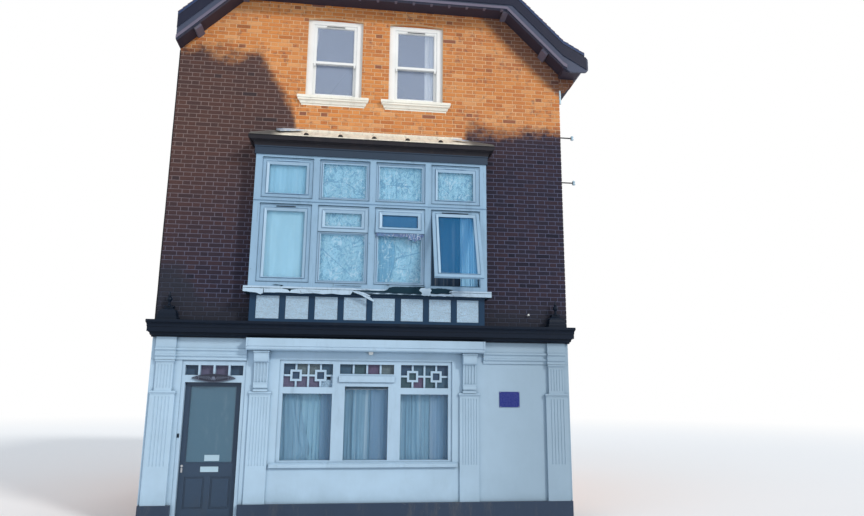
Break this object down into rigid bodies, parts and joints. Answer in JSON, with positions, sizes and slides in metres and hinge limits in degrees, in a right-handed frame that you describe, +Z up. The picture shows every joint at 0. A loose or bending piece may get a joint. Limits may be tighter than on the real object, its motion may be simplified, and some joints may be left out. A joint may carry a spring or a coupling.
{
  "type": "corner shop building",
  "caption": "Brick corner shop house of three storeys: rendered shopfront with street door, boxed oriel, sash windows and a half-hipped tiled roof.",
  "frame": {"origin": "underside of the shop floor on the ground, in the middle of the width and of the depth of the walls", "axes": "+X to the right along the front as seen from the street, +Y from the front to the back, +Z up"},
  "size_m": [6.792, 8.1967, 10.9686],
  "materials": {
    "floor_boards": "matt",
    "brick": "matt",
    "white_render": "satin",
    "white_timber": "satin",
    "black_timber": "satin",
    "dark_timber": "satin",
    "roof_tile": "matt",
    "ridge_tile": "matt",
    "black_iron": "satin",
    "lead": "dull",
    "roughcast": "rough",
    "plinth_paint": "satin",
    "glass": "clear",
    "obscure_glass": "obscure",
    "curtain_cloth": "matt",
    "weathered_oak": "weathered",
    "door_paint": "gloss",
    "bright_metal": "satin",
    "step_stone": "matt",
    "cream_stone": "matt",
    "fittings": "satin"
  },
  "bodies": {
    "house": {"shop_floor": "floor_boards", "upper_floors": "floor_boards", "party_wall": "brick", "flank_wall_ground": "brick", "flank_wall_upper": "brick", "rear_wall_ground": "brick", "rear_wall_first": "brick", "rear_wall_second": "brick", "front_piers": "white_render", "stall_riser": "white_render", "shopfront_lintel": "white_render", "front_wall_first": "brick", "front_wall_second": "brick", "roof_slope_left": "roof_tile", "roof_slope_right": "roof_tile", "roof_half_hips": "roof_tile", "ridge_tiles": "ridge_tile", "soffit_boxes": "dark_timber", "bargeboards": "dark_timber", "eaves_gutter": "black_iron", "kneelers": "brick", "oriel_frame": "white_timber", "oriel_casements": "white_timber", "oriel_open_casement": "white_timber", "oriel_glass": "glass", "oriel_cornice": "black_timber", "oriel_lead_roof": "lead", "oriel_sill": "white_timber", "apron_frame": "black_timber", "apron_panels": "roughcast", "shop_cornice": "black_timber", "cornice_terminals": "black_timber", "shop_entablature": "white_render", "blind_box": "white_timber", "pilasters": "white_render", "consoles": "white_render", "plinth": "plinth_paint", "shop_window_frame": "white_timber", "shop_window_bars": "white_timber", "shop_glass": "glass", "shop_sill": "white_timber", "shop_curtains": "curtain_cloth", "door_frame": "white_timber", "transom_carving": "weathered_oak", "frame_hinges": "bright_metal", "door_step": "step_stone", "sash_windows": "white_timber", "sash_glass": "glass", "window_sills": "cream_stone", "front_fittings": "fittings"},
    "street_door": {"door_leaf": "door_paint", "door_glass": "obscure_glass", "door_furniture": "bright_metal", "leaf_hinges": "bright_metal"}
  },
  "joints": [
    {"name": "street_door_hinge", "type": "hinge", "parent": "house", "child": "street_door", "pos_m": [-1.837, -3.4595, 0.07], "axis": [0, 0, -1], "range_deg": [0, 90]}
  ]
}
